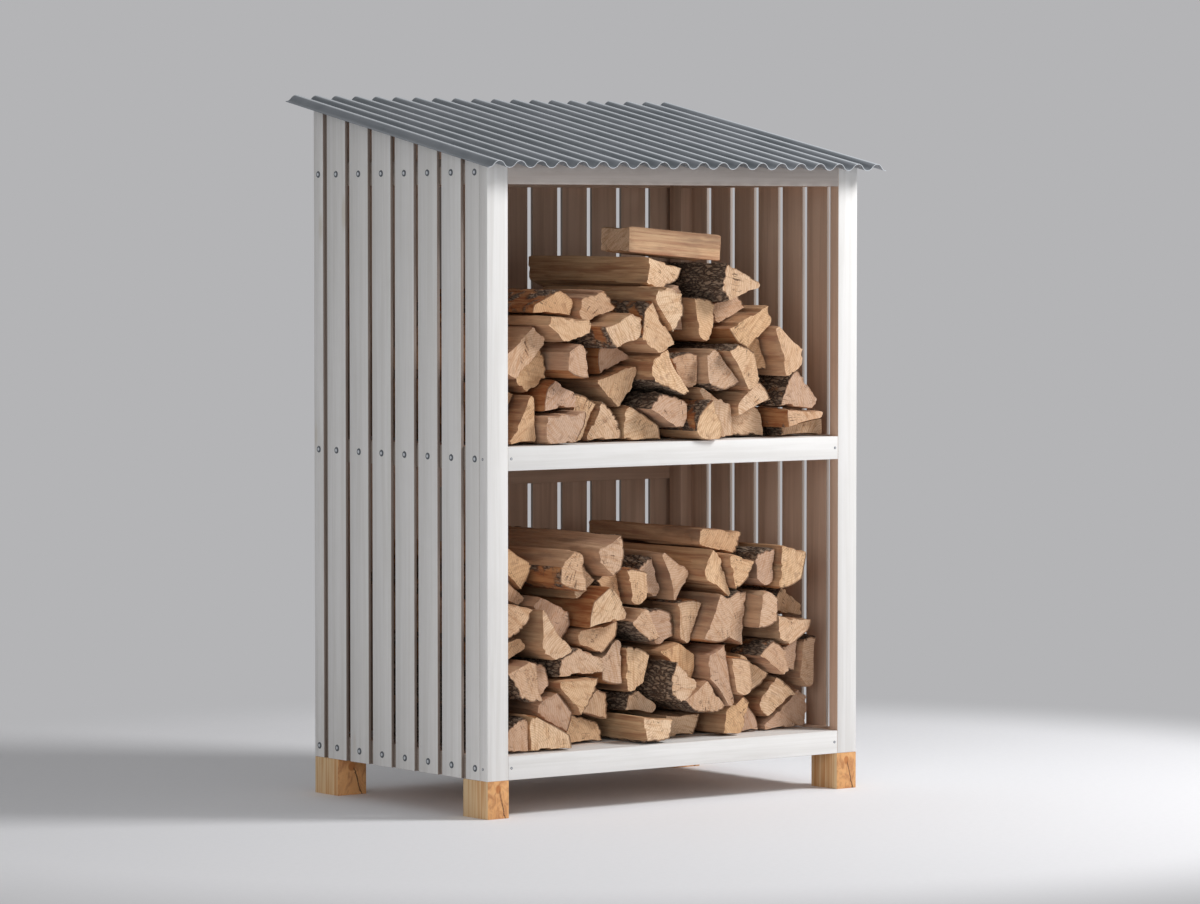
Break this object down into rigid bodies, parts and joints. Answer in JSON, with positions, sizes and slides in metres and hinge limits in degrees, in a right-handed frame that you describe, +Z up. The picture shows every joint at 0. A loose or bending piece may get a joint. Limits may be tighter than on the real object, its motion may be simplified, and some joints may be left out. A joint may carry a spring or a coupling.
{
  "type": "log store",
  "caption": "Open-fronted lean-to log store: white slatted timber walls on pine feet, a floor and a shelf stacked with split firewood, under a corrugated roof.",
  "frame": {"origin": "on the ground under the middle of the roof, which is the middle of the frame's plan", "axes": "+Z up, -Y towards the open front, +X to the right of somebody who faces the front"},
  "size_m": [1.286, 0.9056, 1.8234],
  "materials": {
    "painted_timber": "white paint",
    "bare_pine": "planed, untreated",
    "firewood": "split and sawn",
    "roof_sheet": "matt"
  },
  "bodies": {
    "root": {"back_bottom_rail": "painted_timber", "back_shelf_rail": "painted_timber", "back_tie_rail": "painted_timber", "back_top_plate": "painted_timber", "back_wall_slats": "painted_timber", "floor_bearers": "painted_timber", "floor_boards": "painted_timber", "foot_back_left": "bare_pine", "foot_back_right": "bare_pine", "foot_front_left": "bare_pine", "foot_front_right": "bare_pine", "front_bottom_rail": "painted_timber", "front_header": "painted_timber", "front_shelf_rail": "painted_timber", "left_bottom_rail": "painted_timber", "left_shelf_rail": "painted_timber", "left_tie_rail": "painted_timber", "left_wall_slats": "painted_timber", "lower_firewood": "firewood", "post_back_left": "painted_timber", "post_back_right": "painted_timber", "post_front_left": "painted_timber", "post_front_right": "painted_timber", "right_bottom_rail": "painted_timber", "right_shelf_rail": "painted_timber", "right_tie_rail": "painted_timber", "right_wall_slats": "painted_timber", "roof_purlin": "painted_timber", "roof_sheet": "roof_sheet", "shelf_bearers": "painted_timber", "shelf_boards": "painted_timber", "upper_firewood": "firewood"}
  },
  "joints": []
}
